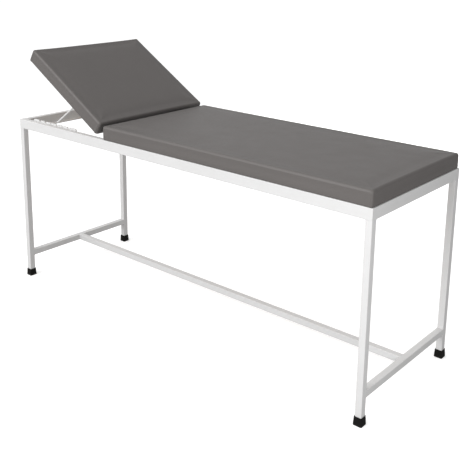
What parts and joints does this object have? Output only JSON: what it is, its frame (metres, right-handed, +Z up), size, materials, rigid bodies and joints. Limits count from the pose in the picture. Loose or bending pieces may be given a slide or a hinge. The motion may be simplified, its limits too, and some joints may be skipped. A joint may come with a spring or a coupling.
{
  "type": "examination couch",
  "caption": "Fixed-height examination couch: tube frame on legs with stretchers, long vinyl pad, and a hinged head section on a rod stay that drops into notched racks.",
  "frame": {"origin": "on the floor, below the middle of the frame", "axes": "+X from the head end to the foot end, +Y from the near side to the far side, +Z up"},
  "size_m": [1.808, 0.608, 1.0607],
  "materials": {
    "powder_coat": "satin",
    "vinyl": "satin",
    "rubber": "matte",
    "foam": "matte",
    "plywood": "matte",
    "zinc_steel": "satin"
  },
  "bodies": {
    "frame": {"board_screw_1_far": "zinc_steel", "board_screw_1_near": "zinc_steel", "board_screw_2_far": "zinc_steel", "board_screw_2_near": "zinc_steel", "board_screw_3_far": "zinc_steel", "board_screw_3_near": "zinc_steel", "cross_stretcher_foot": "powder_coat", "cross_stretcher_head": "powder_coat", "foot_foot_far": "rubber", "foot_foot_near": "rubber", "foot_head_far": "rubber", "foot_head_near": "rubber", "foot_rail": "powder_coat", "head_rail": "powder_coat", "hinge_crossbar": "powder_coat", "hinge_fixed_leaf_far": "zinc_steel", "hinge_fixed_leaf_near": "zinc_steel", "hinge_pin_far": "zinc_steel", "hinge_pin_near": "zinc_steel", "hinge_screw_far_far_fixed": "zinc_steel", "hinge_screw_far_near_fixed": "zinc_steel", "hinge_screw_near_far_fixed": "zinc_steel", "hinge_screw_near_near_fixed": "zinc_steel", "leg_foot_far": "powder_coat", "leg_foot_near": "powder_coat", "leg_head_far": "powder_coat", "leg_head_near": "powder_coat", "long_stretcher": "powder_coat", "main_pad_board": "plywood", "main_pad_cover": "vinyl", "main_pad_foam": "foam", "notched_rack_far": "powder_coat", "notched_rack_near": "powder_coat", "side_rail_far": "powder_coat", "side_rail_near": "powder_coat", "support_crossbar_1": "powder_coat", "support_crossbar_2": "powder_coat", "support_crossbar_3": "powder_coat"},
    "head_section": {"bracket_screw_far_far": "zinc_steel", "bracket_screw_far_near": "zinc_steel", "bracket_screw_near_far": "zinc_steel", "bracket_screw_near_near": "zinc_steel", "head_pad_board": "plywood", "head_pad_cover": "vinyl", "head_pad_foam": "foam", "hinge_moving_leaf_far": "zinc_steel", "hinge_moving_leaf_near": "zinc_steel", "hinge_screw_far_far_moving": "zinc_steel", "hinge_screw_far_near_moving": "zinc_steel", "hinge_screw_near_far_moving": "zinc_steel", "hinge_screw_near_near_moving": "zinc_steel", "stay_bracket_far": "zinc_steel", "stay_bracket_near": "zinc_steel", "stay_pivot_pin_far": "zinc_steel", "stay_pivot_pin_near": "zinc_steel"},
    "stay": {"stay_arm_far": "powder_coat", "stay_arm_near": "powder_coat", "stay_crossbar": "powder_coat"}
  },
  "joints": [
    {"name": "head_tilt", "type": "hinge", "parent": "frame", "child": "head_section", "pos_m": [-0.375, 0, 0.742], "axis": [0, 1, 0], "range_deg": [-31.2, 15.7]},
    {"name": "stay_swing", "type": "hinge", "parent": "head_section", "child": "stay", "pos_m": [-0.55649, 0, 0.85542], "axis": [0, 1, 0], "range_deg": [-34.5, 68]}
  ],
  "couplings": [
    {"joint": "stay_swing", "follows": "head_tilt", "ratio": -2.1637}
  ]
}
